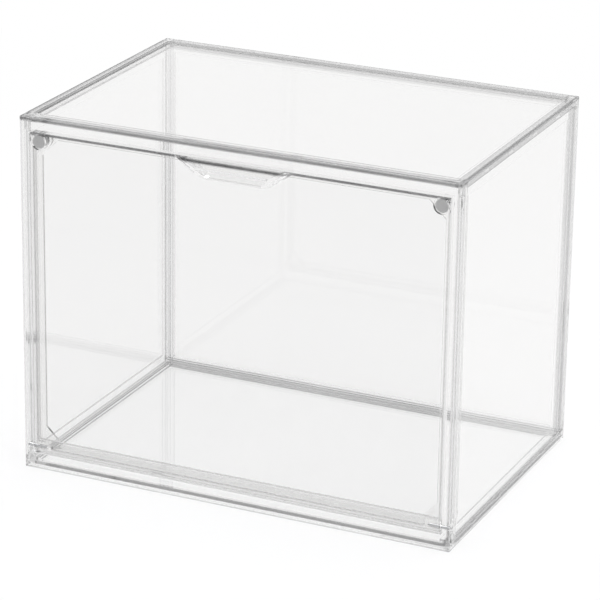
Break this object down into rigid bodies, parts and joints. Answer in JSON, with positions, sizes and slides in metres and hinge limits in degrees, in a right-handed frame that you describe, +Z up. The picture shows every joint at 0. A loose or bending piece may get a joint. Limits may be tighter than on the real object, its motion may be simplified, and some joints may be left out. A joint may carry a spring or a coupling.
{
  "type": "clear display box with drop-front door",
  "caption": "Clear stackable display box of snapped-together panels, with a drop-front door that turns on hinge pins and is held shut by disc magnets.",
  "frame": {"origin": "on the floor, under the middle of the whole box with the door shut and its pull counted in", "axes": "+X to the right seen from the front, +Y to the back, +Z up; the door faces -Y"},
  "size_m": [0.31, 0.2156, 0.248],
  "materials": {
    "clear_case": "crystal clear, polished",
    "clear_door": "crystal clear, polished",
    "pin_steel": "ground steel",
    "magnet_nickel": "satin nickel plate"
  },
  "bodies": {
    "case": {"front_frame": "clear_case", "back_panel": "clear_case", "left_wall": "clear_case", "right_wall": "clear_case", "roof_panel": "clear_case", "base_panel": "clear_case", "hinge_pin_left": "pin_steel", "hinge_pin_right": "pin_steel", "frame_magnet_left": "magnet_nickel", "frame_magnet_right": "magnet_nickel"},
    "door": {"door_panel": "clear_door", "door_magnet_left": "magnet_nickel", "door_magnet_right": "magnet_nickel"}
  },
  "joints": [
    {"name": "door_hinge", "type": "hinge", "parent": "case", "child": "door", "pos_m": [0, -0.0982, 0.0156], "axis": [1, 0, 0], "range_deg": [0, 90]}
  ]
}
